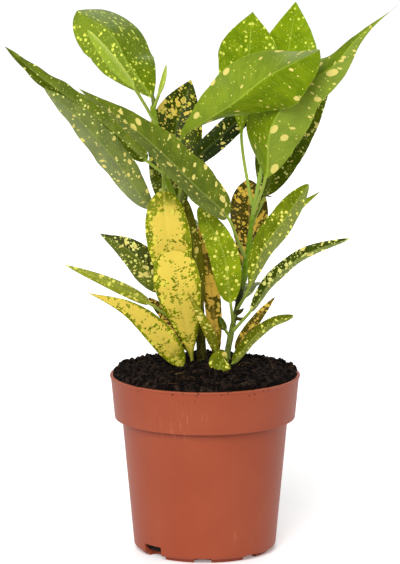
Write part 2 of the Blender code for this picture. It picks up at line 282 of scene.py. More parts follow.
def directions(points):
    ends = [points[0]] + points + [points[-1]]
    return [(after - before).normalized() for before, after in zip(ends, ends[2:])]


def routeCurve(name, path):
    # a smooth curve through points given in millimetres, with a radius where a fourth value is
    points = [Vector(point[:3]) * mm for point in path]
    curve = bpy.data.curves.new(name, "CURVE")
    curve.dimensions = "3D"
    curve.resolution_u = curveSteps
    spline = curve.splines.new("BEZIER")
    spline.bezier_points.add(len(points) - 1)
    for i, (knot, point, way) in enumerate(zip(spline.bezier_points, points, directions(points))):
        before = (point - points[max(i - 1, 0)]).length / 3
        after = (points[min(i + 1, len(points) - 1)] - point).length / 3
        knot.co = point
        knot.handle_left_type = knot.handle_right_type = "FREE"
        knot.handle_left = point - way * before
        knot.handle_right = point + way * after
        knot.radius = path[i][3] if len(path[i]) > 3 else 1.0
    return placed(name, curve)


def routeLengths(host):
    # the length of the host's curve up to each of its points
    knots = host.data.splines[0].bezier_points
    reached = [0.0]
    for start, end in zip(knots, knots[1:]):
        line = interpolate_bezier(start.co, start.handle_right, end.handle_left, end.co,
                                  curveSteps + 1)
        reached.append(reached[-1] + sum((b - a).length for a, b in zip(line, line[1:])))
    return reached


rowCrowding = 0.7        # how much closer the rows lie at both ends of a blade
edgeScale = 140.0        # how fine the ragged edge is, in clouds to a metre
ribWidths = (0.0014, 0.0005)      # the midrib's half width at the neck and at the tip
fullWave = 14 * mm       # blades narrower than this wave less
fullVeins = 30 * mm      # and blades a good deal narrower than this have closer veins

leafInputs = {
    "Rows": 80, "Columns": 40, "Stalk rows": 0.2, "Neck": 0.1, "Length": 0.1,
    "Half width": 0.01, "Lean": 0.0, "Sharpness at neck": 0.5, "Sharpness at tip": 0.6,
    "Roll at neck": 0.0, "Roll at tip": 0.0, "Fold": 0.2, "Bow": -0.06, "Facing": front,
    "Thickness": 0.0005, "Stalk radius": 0.00095, "Wave height": 0.001, "Waves": 3.0,
    "Vein spacing": 0.006, "Vein slant": 0.5, "Quilt": 0.00034, "Rib": 0.0005, "Seed": 0.0,
    "Edge": 0.00012, "Ragged": 0.09, "Mood": (1.0, 0.0, 1.0), "Tint": (0.0, 0.0, 0.0),
    "Finish": None,
}


def leafTree():
    tree, start = newTree("croton leaf", leafInputs)
    given = start.output
    grid, turn, v, ends = tubeGrid(start, "Columns", "Rows")

    # along: first the stalk's rows, then the blade's, closer together at both its ends
    onStalk = (v / given("Stalk rows")).atMost(1.0)
    onBlade = ((v - given("Stalk rows")) / (1.0 - given("Stalk rows"))).atLeast(0.0)
    part = onBlade - (onBlade * math.tau).sin() * (rowCrowding / math.tau)
    part = part.atLeast(0.0).atMost(1.0)
    route = start.node("GeometryNodeSampleCurve", {
        "Curves": start, "Factor": onStalk * given("Neck") + part * (1.0 - given("Neck"))},
        mode="FACTOR")
    centre = route.output("Position")
    way = route.output("Tangent")

    # the blade's own front and side
    facing = given("Facing")
    leaning = facing.vector("DOT_PRODUCT", way, "Value")
    facing = facing.vector("SUBTRACT", way.scaled(leaning)).unit()
    turnBy = given("Roll at neck") + (given("Roll at tip") - given("Roll at neck")) * (
        part * part * (3.0 - 2.0 * part))
    out = facing.scaled(turnBy.cos()).plus(way.crossed(facing).scaled(turnBy.sin()))
    side = way.crossed(out)

    # the outline
    neck = given("Sharpness at neck")
    tip = given("Sharpness at tip")
    widest = neck / (neck + tip)
    full = ((part / widest) ** neck) * (((1.0 - part) / (1.0 - widest)) ** tip)
    width = given("Half width") * full
    flat = (width / (4.0 * given("Stalk radius"))).atMost(1.0)
    stalk = given("Stalk radius") * (1.0 + 0.5 * (1.0 - onStalk) ** 4.0)
    thick = stalk * 2.0 * (1.0 - flat) + given("Thickness") * flat
    late = part.rise(0.25, 0.45)
    thin = (width * 2.0).atMost(given("Thickness")).atLeast(given("Edge"))
    thick = thick * (1.0 - late) + thin * late
    width = width.atLeast(stalk * (1.0 - late)).atLeast(given("Edge"))

    # across: more points at the midrib than at the margins
    cosine = turn.cos()
    across = cosine.sign() * (abs(cosine) ** (1.0 + 0.3 * flat))
    span = abs(across)
    lean = 1.0 + given("Lean") * cosine.sign() * span.rise(0.0, 0.4)
    edgePlace = start.joined(part * given("Length") * edgeScale, across.sign() * 3.0,
                             given("Seed") * 5.0)
    ragged = 1.0 + (edgePlace.clouds(1.0, 2.0, 0.5) - 0.5) * given("Ragged") * flat
    reach = width * lean * ends * ragged
    offset = span * reach
    along = part * given("Length")

    # relief: folded halves, wavy margins, quilting between side veins, a sunken midrib
    bend = given("Fold") * flat
    phase = part * given("Waves") * math.tau + given("Seed") * 1.7
    wave = (phase + across.sign() * 0.9).sin() * span * span
    wave = wave * given("Wave height") * full * part.rise(0.02, 0.3)
    veins = (along - offset * given("Vein slant")) * math.pi / given("Vein spacing")
    puff = abs(veins.sin()) * given("Quilt") * span.rise(0.04, 0.25) * span.rise(1.0, 0.7) * full
    ribWidth = ribWidths[1] + (ribWidths[0] - ribWidths[1]) * (1.0 - part)
    rib = 1.0 / (1.0 + (offset / ribWidth) ** 2.0)
    groove = rib * given("Rib") * flat * (1.0 - part)
    sine = turn.sin()
    skin = sine * thick * 0.5 * ends
    behind = sine.below(0.0)
    lift = span * bend.sin() * reach + given("Bow") * span * span * reach * flat
    lift = lift + (wave + puff - groove - groove * behind) * ends + skin
    place = centre.plus(side.scaled(across * bend.cos() * reach)).plus(out.scaled(lift))

    # the finish reads each point's place on the flat blade, in millimetres
    shape = wrapped(start, grid, place, {
        "leafPlace": v.joined(across * reach / mm, along / mm, given("Seed")),
        "leafShare": v.joined(across, part, sine),
        "leafMood": given("Mood"),
        "leafTintSheenShade": given("Tint")})
    endTree(start, start.node("GeometryNodeFlipFaces", {"Mesh": shape}))
    return tree


# Each leaf: its finish, its half width, how sharp its blade is at the neck and at the tip, how
# far it rolls on its way from neck to tip, how far its halves fold up, and how high and often
# its margins wave. lean makes one half wider than the other, faces is the way its front looks,
# and the path runs from the stalk's foot to the tip, with the blade from point number neck on.
# specks and blotch make its marks larger, shade darkens it, warm browns it, and tint makes its
# two halves paler, or deeper where it is below 0: a paler half is painted sheen, a deeper half is
# painted shade, and a leaf deeper on both halves has its own deep tone.
leaves = {
    "left_crown_front_leaf": dict(
        finish="young", halfWidth=4.9, outline=(0.6, 0.7), roll=(-20, -20), fold=35, specks=0.7,
        wave=0.4, tintSheenShade=(0.9, 0.3), shade=1.1,
        path=[(-30, 2, 271), (-44, -16, 297), (-59, -28, 318), (-72, -38, 335)]),
    "left_crown_rear_leaf": dict(
        finish="young", halfWidth=28.4, outline=(1, 0.52), roll=(12, 40), fold=-37, lean=0.28,
        specks=0.98, wave=0.8, tintSheenShade=(0.0, 0.2), shade=0.66,
        path=[(-32, 0, 283), (-33, 5, 288), (-49, 13, 310), (-59, 21, 327), (-81, 26, 341)]),
    "left_crown_spear": dict(
        finish="young", halfWidth=1.7, outline=(0.6, 0.8), fold=30, tintSheenShade=(0.9, 0.3), shade=1.1,
        warm=0.1,
        path=[(-32, 0, 283), (-29, -4, 291), (-26, -8, 301), (-24, -10, 311)]),
    "blotched_upper_leaf": dict(
        finish="dark", halfWidth=17.5, outline=(0.8, 1), specks=1.1,
        path=[(-13, 5, 207), (-21, 14, 231), (-18, 28, 268), (-9, 40, 296)]),
    "left_long_upper_leaf": dict(
        finish="mature", halfWidth=8.6, outline=(0.38, 0.85), roll=(35, 35), fold=10, specks=0.8,
        wave=2.2, waves=6, tintSheenShade=(0.05, -0.4), shade=0.8,
        path=[(-25, 4, 240), (-37, 10, 248), (-59, 20, 266), (-82, 26, 283), (-106, 30, 300),
              (-127, 32, 318)]),
    "left_long_lower_leaf": dict(
        finish="mature", halfWidth=10, outline=(0.6, 0.8), roll=(15, 30), fold=14, specks=0.7,
        wave=1.6, waves=5, blotch=0.08, tintSheenShade=(0.25, 0.55), shade=0.85,
        path=[(-17, 5, 217), (-33, -6, 220), (-54, -16, 249), (-79, -24, 279), (-99, -30, 298)]),
    "spotted_rear_leaf": dict(
        finish="mature", halfWidth=11.5, outline=(0.6, 0.7), fold=10, specks=1.2, shade=0.62,
        path=[(-11, 5, 200), (-16, 15, 212), (-23, 26, 233), (-30, 36, 261)]),
    "hanging_gold_leaf": dict(
        finish="gold", halfWidth=14, fold=6, wave=0.6, waves=4, blotch=-0.05,
        path=[(-26, 4, 244), (-26, -12, 232), (-24, -20, 212), (-21, -23, 193), (-18, -22, 169)]),
    "broad_crossing_leaf": dict(
        finish="young", halfWidth=23, outline=(1.05, 0.6), roll=(55, -56), fold=-28, specks=0.45,
        wave=0.8, blotch=0.12, tintSheenShade=(-0.1, 0.2), shade=0.72,
        path=[(-24, 4, 236), (-16, -12, 263), (4, -22, 279), (18, -28, 289), (38, -36, 306),
              (70, -46, 323)]),
    "dark_centre_leaf": dict(
        finish="mature", halfWidth=7.5, roll=(-20, -20), fold=12, specks=0.6, blotch=0.13,
        tintSheenShade=(-1, -0.9), shade=0.85,
        path=[(-18, 5, 220), (-11, 15, 241), (13, 25, 264), (38, 35, 286)]),
    "left_folded_side_leaf": dict(
        finish="mature", halfWidth=11, outline=(0.5, 1.1), roll=(25, 25), fold=14, blotch=0.14,
        tintSheenShade=(-0.7, 0.1), shade=0.62, warm=0.08,
        path=[(-3, 3, 144), (-25, 4, 166), (-46, 8, 189), (-67, 14, 201)]),
    "left_narrow_leaf": dict(
        finish="green", halfWidth=4, outline=(0.4, 0.9), roll=(10, 10), fold=10, specks=1.1,
        blotch=0.1, tintSheenShade=(0.35, 0.2), shade=1.02, warm=0.2,
        path=[(-2, 2, 134), (-35, -10, 160), (-58, -20, 174), (-88, -28, 188)]),
    "rear_upper_leaf": dict(
        finish="mature", halfWidth=11, outline=(0.6, 0.7), fold=12, faces=up,
        path=[(-9, 5, 193), (-11, 28, 198), (-16, 60, 200), (-22, 92, 196)]),
    "rear_lower_leaf": dict(
        finish="dark", halfWidth=10, outline=(0.6, 0.7), fold=12, faces=up,
        path=[(-3, 3, 153), (-6, 30, 158), (-11, 60, 161), (-16, 86, 156)]),
    "left_crossing_leaf": dict(
        finish="mature", halfWidth=14.5, outline=(0.5, 1.1), roll=(36, 40), fold=30, neck=2,
        specks=0.55, wave=1.2, waves=4, blotch=0.13, tintSheenShade=(0.05, 0.2), shade=0.78,
        path=[(26, 5, 185), (20, -6, 201), (14, -16, 216), (-4, -28, 235), (-37, -42, 269),
              (-77, -54, 301)]),
    "front_green_leaf": dict(
        finish="green", halfWidth=9.5, fold=10, shade=0.92,
        path=[(18, 4, 143), (16, -12, 161), (11, -18, 195), (-4, -14, 222)]),
    "orange_rear_leaf": dict(
        finish="orange", halfWidth=12.3, outline=(1.7, 0.7), blotch=-0.14, shade=0.68,
        path=[(21, 4, 158), (24, 15, 166), (28, 30, 200), (28, 38, 232)]),
    "right_green_leaf": dict(
        finish="green", halfWidth=9.6, outline=(1.0, 0.7), roll=(-25, -25), fold=24, specks=0.9,
        tintSheenShade=(0.6, 0), shade=0.66,
        path=[(20, 4, 153), (27, -8, 168), (36, -16, 195), (49, -24, 215), (64, -32, 239)]),
    "right_rear_leaf": dict(
        finish="green", halfWidth=4, outline=(0.5, 1.2), fold=20,
        path=[(27, 5, 190), (36, 16, 196), (58, 30, 214), (75, 38, 225)]),
    "right_long_leaf": dict(
        finish="mature", halfWidth=5.6, outline=(0.45, 0.7), roll=(-40, -40), fold=30, specks=1.2,
        blotch=0.1, tintSheenShade=(0.4, -0.75), shade=0.82,
        path=[(17, 4, 139), (29, -3, 154), (42, -10, 174), (62, -18, 192), (90, -26, 204)]),
    "small_dark_leaf": dict(
        finish="mature", halfWidth=2.4, fold=12, specks=0.3, tintSheenShade=(-0.6, -0.6), shade=0.8,
        path=[(16, 4, 136), (13, 0, 141), (11, -1, 145), (9, -1, 150)]),
    "rear_right_leaf": dict(
        finish="mature", halfWidth=9, outline=(0.6, 0.7), fold=12, faces=up,
        path=[(19, 4, 149), (21, 28, 154), (27, 58, 160), (32, 86, 154)]),
    "right_crown_left_leaf": dict(
        finish="young", halfWidth=22, outline=(1.4, 1.15), roll=(-63, -7), fold=5, shade=0.88,
        path=[(30, 5, 218), (23, 16, 262), (26, 24, 291), (28, 26, 315), (30, 22, 341)]),
    "right_crown_tall_leaf": dict(
        finish="young", halfWidth=24.5, outline=(0.75, 1.05), roll=(-39, 3), fold=21, lean=0.06,
        specks=0.9, shade=0.95,
        path=[(35, 5, 242), (46, 26, 260), (51, 44, 296), (58, 50, 345)]),
    "right_long_tip_leaf": dict(
        finish="young", halfWidth=25.5, outline=(0.96, 2.3), roll=(-33, -45), fold=-22, lean=-0.21,
        specks=0.5, wave=0.8, waves=5, blotch=0.16, tintSheenShade=(0.35, 0), shade=0.69,
        path=[(30, 5, 213), (38, -6, 239), (41, -18, 272), (58, -28, 298), (79, -29, 312),
              (93, -26, 328), (119, -22, 349)]),
    "right_crown_dark_leaf": dict(
        finish="mature", halfWidth=16, outline=(0.7, 0.8), specks=0.85, blotch=0.08,
        tintSheenShade=(-0.6, -0.7), shade=1.2,
        path=[(29, 5, 207), (38, 20, 224), (48, 36, 252), (61, 52, 272), (80, 62, 294)]),
    "upright_gold_leaf": dict(
        finish="gold", halfWidth=14.5, outline=(1.3, 0.4), fold=6, wave=0.6, waves=4,
        path=[(-8, -9, 112), (-8, -12, 122), (-11, -21, 144), (-17, -36, 176), (-20, -37, 198)]),
    "left_gold_foot_leaf": dict(
        finish="gold", halfWidth=8.2, outline=(0.55, 1.3), roll=(5, 20), fold=6,
        path=[(-11, -14, 112), (-14, -17, 121), (-31, -28, 146), (-49, -36, 162),
              (-74, -42, 173)]),
    "left_brown_foot_leaf": dict(
        finish="orange", halfWidth=5, outline=(0.5, 0.7), blotch=-0.1, shade=0.6,
        path=[(-8, 10, 112), (-10, 11, 125), (-21, 18, 143), (-36, 28, 157)]),
    "olive_upright_leaf": dict(
        finish="green", halfWidth=5.2, outline=(0.6, 0.5), roll=(10, 10), specks=0.6, blotch=0.1,
        shade=0.5, warm=0.45,
        path=[(-8, -3, 112), (-8, -3, 128), (-5, -7, 175), (-12, -2, 225)]),
    "orange_upright_leaf": dict(
        finish="orange", halfWidth=5.4, outline=(0.5, 0.5), blotch=0.2, shade=1.15,
        path=[(6, 4, 112), (7, 3, 122), (5, 0, 158), (1, 1, 184), (-3, 3, 210)]),
    "right_brown_leaf": dict(
        finish="orange", halfWidth=3.6, outline=(0.4, 0.8), fold=10, blotch=-0.1, shade=0.8,
        path=[(18, -3, 112), (20, -5, 129), (31, -10, 148), (44, -14, 165)]),
    "right_foot_leaf": dict(
        finish="green", halfWidth=4.6, outline=(0.3, 0.45), roll=(-35, -35), fold=25,
        tintSheenShade=(0.5, -0.5), shade=0.68, warm=0.15,
        path=[(14, -6, 114), (18, -9, 122), (30, -18, 139), (42, -25, 150), (55, -32, 156)]),
    "front_olive_leaf": dict(
        finish="green", halfWidth=3.6, outline=(0.4, 1), fold=12, specks=0.9, blotch=0.12,
        shade=0.85, warm=0.45,
        path=[(8, -12, 112), (7, -15, 130), (0, -32, 151), (-11, -46, 174)]),
    "front_curled_leaf": dict(
        finish="green", halfWidth=7.5, outline=(0.5, 0.45), fold=4, neck=2, wave=1.6, blotch=0.12,
        shade=0.62, warm=0.15,
        path=[(14, -12, 114), (14, -14, 122), (13, -18, 127), (10, -24, 125), (8, -28, 119)]),
}

leafDefaults = dict(outline=(0.5, 0.6), roll=(0, 0), fold=8, neck=1, faces=front, lean=0,
                    wave=0.9, waves=3, veins=6, specks=1, blotch=0, tintSheenShade=(0, 0), shade=1, warm=0)

# How fine the leaf's grid is, by its length and half width in millimetres.
leafGrid = dict(stalkRows=14, rowsPerMm=0.95, rows=(30, 112), columnsPerMm=3,
                quarterColumns=(5, 16))


def stepsFor(length, perMm, allowed):
    return min(allowed[1], max(allowed[0], round(length / mm * perMm)))


def leafPiece(name, given, tree, finishes, seed):
    leaf = {**leafDefaults, **given}
    host = routeCurve(name, leaf["path"])
    reached = routeLengths(host)
    stalk = reached[leaf["neck"]]
    blade = reached[-1] - stalk
    wide = leaf["halfWidth"] * mm
    stalkRows = leafGrid["stalkRows"]
    rows = stalkRows + stepsFor(blade, leafGrid["rowsPerMm"], leafGrid["rows"])
    piece = grown(f"{name}_blade", host, tree, {
        "Rows": rows,
        "Columns": 4 * stepsFor(wide, leafGrid["columnsPerMm"] / 4, leafGrid["quarterColumns"]),
        "Stalk rows": stalkRows / rows,
        "Neck": stalk / reached[-1],
        "Length": blade,
        "Half width": wide,
        "Lean": leaf["lean"],
        "Sharpness at neck": leaf["outline"][0],
        "Sharpness at tip": leaf["outline"][1],
        "Roll at neck": math.radians(leaf["roll"][0]),
        "Roll at tip": math.radians(leaf["roll"][1]),
        "Fold": math.radians(leaf["fold"]),
        "Facing": leaf["faces"],
        "Wave height": leaf["wave"] * mm * min(1, wide / fullWave),
        "Waves": leaf["waves"],
        "Vein spacing": leaf["veins"] * mm * min(1, 0.45 + wide / fullVeins),
        "Seed": seed,
        "Mood": (leaf["specks"], leaf["blotch"], leaf["shade"]),
        "Tint": (*leaf["tintSheenShade"], leaf["warm"]),
        "Finish": finishes[leaf["finish"]],
    })
    finished(piece, f"{leaf['finish']}_leaf", name)


# What each leaf finish shows: its two body colours and the deepest one, which a half also takes
# as painted shade, the midrib, the back, which a half also takes as painted sheen, the small specks
# and the larger patches. cover is how much of the blade the patches cover, from 0 to 1, middle how
# far they keep to its middle, and holes how much green flecks break them.
leafFinishes = {
    "young": dict(
        light=(134, 158, 10), deep=(100, 128, 0), deepest=(66, 90, 0), rib=(166, 186, 70),
        back=(168, 184, 84), speck=(210, 218, 84), patch=(208, 194, 104), speckSize=0.3, cover=0.1,
        rough=0.42),
    "green": dict(
        light=(132, 148, 12), deep=(92, 110, 0), deepest=(48, 66, 0), rib=(150, 164, 60),
        back=(148, 158, 88), speck=(216, 212, 98), patch=(216, 198, 100), speckSize=0.34,
        cover=0.16, rough=0.4),
    "mature": dict(
        light=(114, 130, 14), deep=(74, 94, 0), deepest=(30, 44, 0), rib=(142, 154, 74),
        back=(150, 158, 116), speck=(212, 212, 118), patch=(208, 194, 106), speckSize=0.33,
        cover=0.15, rough=0.38),
    "dark": dict(
        light=(58, 72, 4), deep=(30, 42, 0), deepest=(14, 24, 0), rib=(92, 108, 34),
        back=(98, 104, 66), speck=(198, 188, 72), patch=(206, 180, 80), speckSize=0.34, cover=0.44,
        middle=0.1, holes=0.25, rough=0.36),
    "gold": dict(
        light=(120, 130, 6), deep=(76, 86, 0), deepest=(60, 72, 0), rib=(208, 186, 84),
        back=(190, 176, 98), speck=(206, 196, 70), patch=(203, 179, 70), speckSize=0.42, cover=0,
        middle=0.5, holes=0.95, rough=0.44),
    "orange": dict(
        light=(98, 88, 14), deep=(52, 48, 2), deepest=(24, 20, 0), rib=(160, 130, 60),
        back=(140, 120, 70), speck=(206, 176, 72), patch=(211, 172, 65), speckSize=0.36, cover=0.6,
        middle=0.1, holes=0.4, rough=0.42),
}

# The scale of the marks: cells or clouds to a millimetre, and the side veins' spacing and slant.
leafMarks = dict(veins=5.2, slant=0.5, drifts=0.12, grain=1.1, crowds=0.085, specks=0.27,
                 fineSpecks=0.6, patches=0.21, smallPatches=0.42, patchCrowds=0.075,
                 patchEdge=0.5, ovals=0.07, field=0.26, flecks=0.55, fleckCrowds=0.12)


def leafMaterial(name, look):
    made, start, shader = newMaterial(f"{name} leaf", Specular_IOR_Level=0.045, Coat_Roughness=0.3)
    look = {key: tone(*value) if isinstance(value, tuple) else value
            for key, value in {"middle": 0.0, "holes": 0.0, **look}.items()}
    marks = leafMarks
    x, along, seed = start.attribute("leafPlace").split()
    side, part, facing = start.attribute("leafShare").split()
    specks, blotch, shade = start.attribute("leafMood").split()
    tintSheenShadeThis, tintSheenShadeThat, warm = start.attribute("leafTintSheenShade").split()
    across = abs(x)
    span = abs(side)

    # side veins run outwards and a little towards the tip
    slant = along - across * marks["slant"]
    drift = start.joined(x, slant, seed * 31.0)
    flatPlace = start.joined(x, along, seed * 13.0 + 7.0)
    wander = drift.clouds(marks["drifts"], 3.0, 0.55)
    grain = flatPlace.clouds(marks["grain"], 3.0, 0.6)

    # the body of the leaf: lighter between veins, deeper in cloudy drifts
    line = abs((slant * (math.pi / marks["veins"])).sin())
    body = colour(start, look["deep"]).mixed(
        (wander.rise(0.3, 0.72) * 0.75 + line.rise(0.0, 0.5) * 0.25), look["light"])
    half = side.rise(-0.1, 0.1)
    # each half's tint: above 0 it mixes in the back's colour as painted sheen, below 0 the deepest
    # colour as painted shade, which on a leaf deep on both halves is its own tone
    pale = tintSheenShadeThis * half + tintSheenShadeThat * (1.0 - half)
    body = body.mixed(pale.atLeast(0.0), look["back"])
    body = body.mixed((0.0 - pale).atLeast(0.0), look["deepest"])
    body = body.mixed(warm, tone(134, 106, 22)).scaled(shade)      # an old leaf browns
    veinLine = line.rise(0.16, 0.02) * span.rise(0.95, 0.7) * 0.3
    darkened = 1.0 + pale.atMost(0.0) * 0.8
    body = body.mixed(veinLine * darkened, look["rib"])

    # small round specks, a little larger in some places than in others
    crowd = flatPlace.clouds(marks["crowds"], 1.0, 0.5).rise(0.36, 0.62)
    size = (crowd * 0.25 + 0.75) * look["speckSize"] * specks
    speck = (size - flatPlace.cells(marks["specks"]) + grain * 0.08).rise(0.04, 0.09)
    fine = start.joined(x, along, seed * 7.0 + 3.0).cells(marks["fineSpecks"])
    speck = speck.atLeast((size * 0.85 - fine + grain * 0.06).rise(0.04, 0.10) * 0.8)
    body = body.mixed(speck * 0.95, look["speck"])

    # larger blotches, a little longer along the veins
    blots = start.joined(x * 0.8, slant, seed * 19.0)
    reach = blots.clouds(marks["patchCrowds"], 1.0, 0.5).rise(0.3, 0.66) * 0.7 + 0.3
    reach = reach * (look["cover"] + blotch) + (0.5 - span) * look["middle"] * 0.3
    edge = blots.clouds(marks["patchEdge"], 3.0, 0.6) - 0.5
    patch = (reach - blots.cells(marks["patches"]) + edge * 0.5).rise(0.0, 0.03)
    small = reach * 0.8 - blots.cells(marks["smallPatches"]) + edge * 0.4
    patch = patch.atLeast(small.rise(0.05, 0.09))
    # a few big ovals, only on leaves with more blotches than their finish
    ovals = start.joined(x * 1.35, slant, seed * 23.0).cells(marks["ovals"])
    patch = patch.atLeast((blotch * 1.5 - ovals + edge * 0.08).rise(0.0, 0.02))
    if name == "gold":
        # gold nearly from edge to edge, greener at its margins and towards its foot
        field = flatPlace.clouds(marks["field"], 5.0, 0.7)
        field = field + (0.5 - span * span) * look["middle"]
        patch = patch.atLeast((field + blotch).rise(0.43, 0.46))
        patch = patch * (part + grain * 0.1).rise(0.13, 0.25)
    if look["holes"]:
        flecks = start.joined(x * 0.8, slant * 1.1, seed * 5.0)
        often = flecks.clouds(marks["fleckCrowds"], 2.0, 0.5).rise(0.4, 0.62)
        often = (1.0 - part) * 0.25 + span * 0.25 + often
        hole = look["holes"] * 0.44 * often - flecks.cells(marks["flecks"]) + grain * 0.2
        patch = patch * (1.0 - hole.rise(0.06, 0.11))
    if name == "orange":
        patch = patch * part.rise(0.15, 0.3)      # the foot of the leaf stays dark
    body = body.mixed(patch, look["patch"])

    # the midrib, and the paler back
    ribLine = (across / (0.5 + (1.0 - part) * 0.8)).rise(1.0, 0.45) * part.rise(1.0, 0.8)
    body = body.mixed(ribLine * 0.36 * darkened, look["rib"])
    stalk = part.rise(0.015, 0.0)
    body = body.mixed(stalk, tone(140, 158, 62))
    margin = span.rise(0.965, 1.0)
    body = body.mixed(margin * 0.35, look["rib"])
    back = facing.rise(0.02, -0.02) * (1.0 - stalk)
    body = body.mixed(back * 0.62, look["back"])
    rough = look["rough"] + wander * 0.12 + back * 0.2 + patch * 0.06 - ribLine * 0.08
    height = grain * 0.18 + line.rise(0.0, 0.4) * 0.5 - ribLine * 0.3
    start.feed(shader["Coat Weight"], (1.0 - back) * 0.02)
    dressed(start, shader, body, rough, 0.35, 0.25, height)
    return made


def makeLeaves():
    tree = leafTree()
    finishes = {name: leafMaterial(name, look) for name, look in leafFinishes.items()}
    for seed, (name, leaf) in enumerate(leaves.items(), 1):
        leafPiece(name, leaf, tree, finishes, seed)
    print(f"leaves: {len(leaves)} grown")


# Points run from inside the soil to the top, each with the stem's radius there.
stems = {
    "left_stem": dict(
        slot="woody_stem",
        path=[(-2, 2, 98, 3.4), (-2, 2, 122, 3.2), (-3, 2, 141, 2.9), (-4, 3, 166, 2.6),
              (-10, 5, 198, 2.4), (-18, 5, 220, 2.2), (-25, 4, 240, 2.2), (-30, 2, 265, 2.1),
              (-33, 0, 285, 1.8)]),
    "right_stem": dict(
        slot="green_stem",
        path=[(14, 4, 98, 2.4), (14, 4, 122, 2.1), (17, 4, 140, 1.8), (20, 4, 154, 1.6),
              (23, 4, 166, 1.9), (26, 5, 182, 2.5), (28, 5, 196, 1.7), (30, 5, 214, 1.3),
              (33, 5, 230, 1.3), (36, 5, 246, 1.3), (38, 5, 258, 1.2)]),
}

# Short stubs where leaves have dropped, a scale, a scar and a bud, with points like a stem's.
stubs = {
    "dry_twig": dict(
        slot="woody_stem", path=[(33, 4, 224, 0.5), (37, 0, 227, 0.5), (42, -5, 227, 0.35)]),
    "pale_stub": dict(
        slot="green_stem", path=[(-18, 3, 220, 0.9), (-15, -6, 224, 0.8), (-14, -8, 231, 0.7)]),
    "dark_scale": dict(
        slot="woody_stem", path=[(20, 3, 151, 1.4), (22.5, 1, 153, 1.3), (24.5, 0, 155, 0.5)]),
    "dark_scar": dict(
        slot="woody_stem", path=[(20, 3, 148, 1.2), (22.5, 1, 148, 1.1), (24.5, 0, 149, 0.4)]),
    "crown_bud": dict(
        slot="green_stem", path=[(-32, 0, 282, 1.2), (-32.4, -0.5, 288, 1.3), (-33, -1, 293, 0.4)]),
}

scarEdge = 14.0          # the higher, the narrower the rings
barkScale = 420.0        # how short its lumps are, to a metre

stubValues = {"Rings": 24, "Sides": 12, "Joint height": 0}

stemInputs = {"Rings": 160, "Sides": 20, "Joint spacing": 0.013, "Joint height": 0.00025,
              "Bark": 0.00018, "Seed": 0.0, "Finish": None}


def stemTree():
    tree, start = newTree("croton stem", stemInputs)
    given = start.output
    grid, turn, v, ends = tubeGrid(start, "Sides", "Rings")
    radius = start.node("GeometryNodeInputRadius")
    route = start.node("GeometryNodeSampleCurve", {
        "Curves": start, "Value": radius, "Factor": v}, mode="FACTOR")
    length = start.node("GeometryNodeCurveLength", {"Curve": start})
    way = route.output("Tangent")
    spoke = way.crossed(front).unit()
    beside = way.crossed(spoke)

    # leaf scars swell the stem in rings, and bark roughens it
    along = v * length
    scar = abs((along * math.pi / given("Joint spacing") + given("Seed")).sin()) ** scarEdge
    rounded = v.rise(1.0, 0.985) * 0.4 + 0.6
    around = start.joined(turn.cos(), turn.sin(), along * barkScale + given("Seed"))
    rough = (around.clouds(1.6, 3.0, 0.6) - 0.5) * given("Bark") * 2.0
    thick = (route * mm * rounded + scar * given("Joint height") + rough) * ends
    place = route.output("Position").plus(spoke.scaled(turn.cos() * thick))
    place = place.plus(beside.scaled(turn.sin() * thick))
    endTree(start, wrapped(start, grid, place, {
        "stemPlace": start.joined(turn.cos(), turn.sin(), along / mm)}))
    return tree


def stemFinish(name, stretch, streakScale, streakDetail, streakRough, fleckScale):
    # what both stems' finishes start from: heights in millimetres, long streaks, small flecks
    made, start, shader = newMaterial(name, Specular_IOR_Level=0.1)
    place = start.attribute("stemPlace")
    around, aside, along = place.split()
    streaks = start.joined(around * 3.0, aside * 3.0, along * stretch)
    streaks = streaks.clouds(streakScale, streakDetail, streakRough)
    return made, start, shader, along, streaks, place.clouds(fleckScale, 2.0, 0.5)


def barkMaterial():
    made, start, shader, along, streaks, flecks = stemFinish(
        "left stem bark", 0.35, 1.2, 4.0, 0.6, 2.4)
    young = along.rise(95.0, 135.0)      # the top of the stem is still green
    old = colour(start, tone(36, 32, 4)).mixed(streaks.rise(0.35, 0.7), tone(84, 80, 20))
    old = old.mixed(flecks.rise(0.62, 0.72) * 0.6, tone(150, 146, 96))
    fresh = colour(start, tone(112, 136, 18)).mixed(streaks.rise(0.4, 0.7), tone(150, 172, 60))
    dressed(start, shader, old.mixed(young, fresh), 0.75 - young * 0.3, 0.5, 0.3, streaks)
    return made


def shootMaterial():
    made, start, shader, along, streaks, flecks = stemFinish(
        "right stem shoot", 0.3, 1.1, 3.0, 0.55, 2.0)
    # from the soil up: olive foot, a dark band of old scars, a bright new shoot, pale top
    foot = colour(start, tone(78, 88, 28)).mixed(streaks.rise(0.35, 0.65), tone(116, 130, 54))
    band = foot.mixed(along.rise(52.0, 60.0) * along.rise(76.0, 66.0), tone(40, 44, 14))
    new = colour(start, tone(84, 112, 4)).mixed(streaks.rise(0.35, 0.7), tone(116, 146, 30))
    pale = new.mixed(along.rise(112.0, 128.0), tone(134, 158, 62))
    shown = band.mixed(along.rise(68.0, 84.0), pale)
    shown = shown.mixed(flecks.rise(0.64, 0.72) * 0.5, tone(168, 176, 110))
    dressed(start, shader, shown, 0.42 + streaks * 0.2, 0.3, 0.2, streaks)
    return made


def makeStems():
    tree = stemTree()
    finishes = {"woody_stem": barkMaterial(), "green_stem": shootMaterial()}
    for seed, (name, stem) in enumerate(stems.items(), 1):
        piece = grown(f"{name}_bark", routeCurve(name, stem["path"]), tree, {
            "Seed": seed, "Finish": finishes[stem["slot"]]})
        finished(piece, stem["slot"], name)
    for seed, (name, stub) in enumerate(stubs.items(), 5):
        piece = grown(name, routeCurve(name, stub["path"]), tree, {
            **stubValues, "Seed": seed, "Finish": finishes[stub["slot"]]})
        finished(piece, stub["slot"])
    print(f"stems: {len(stems)}, stubs: {len(stubs)}")


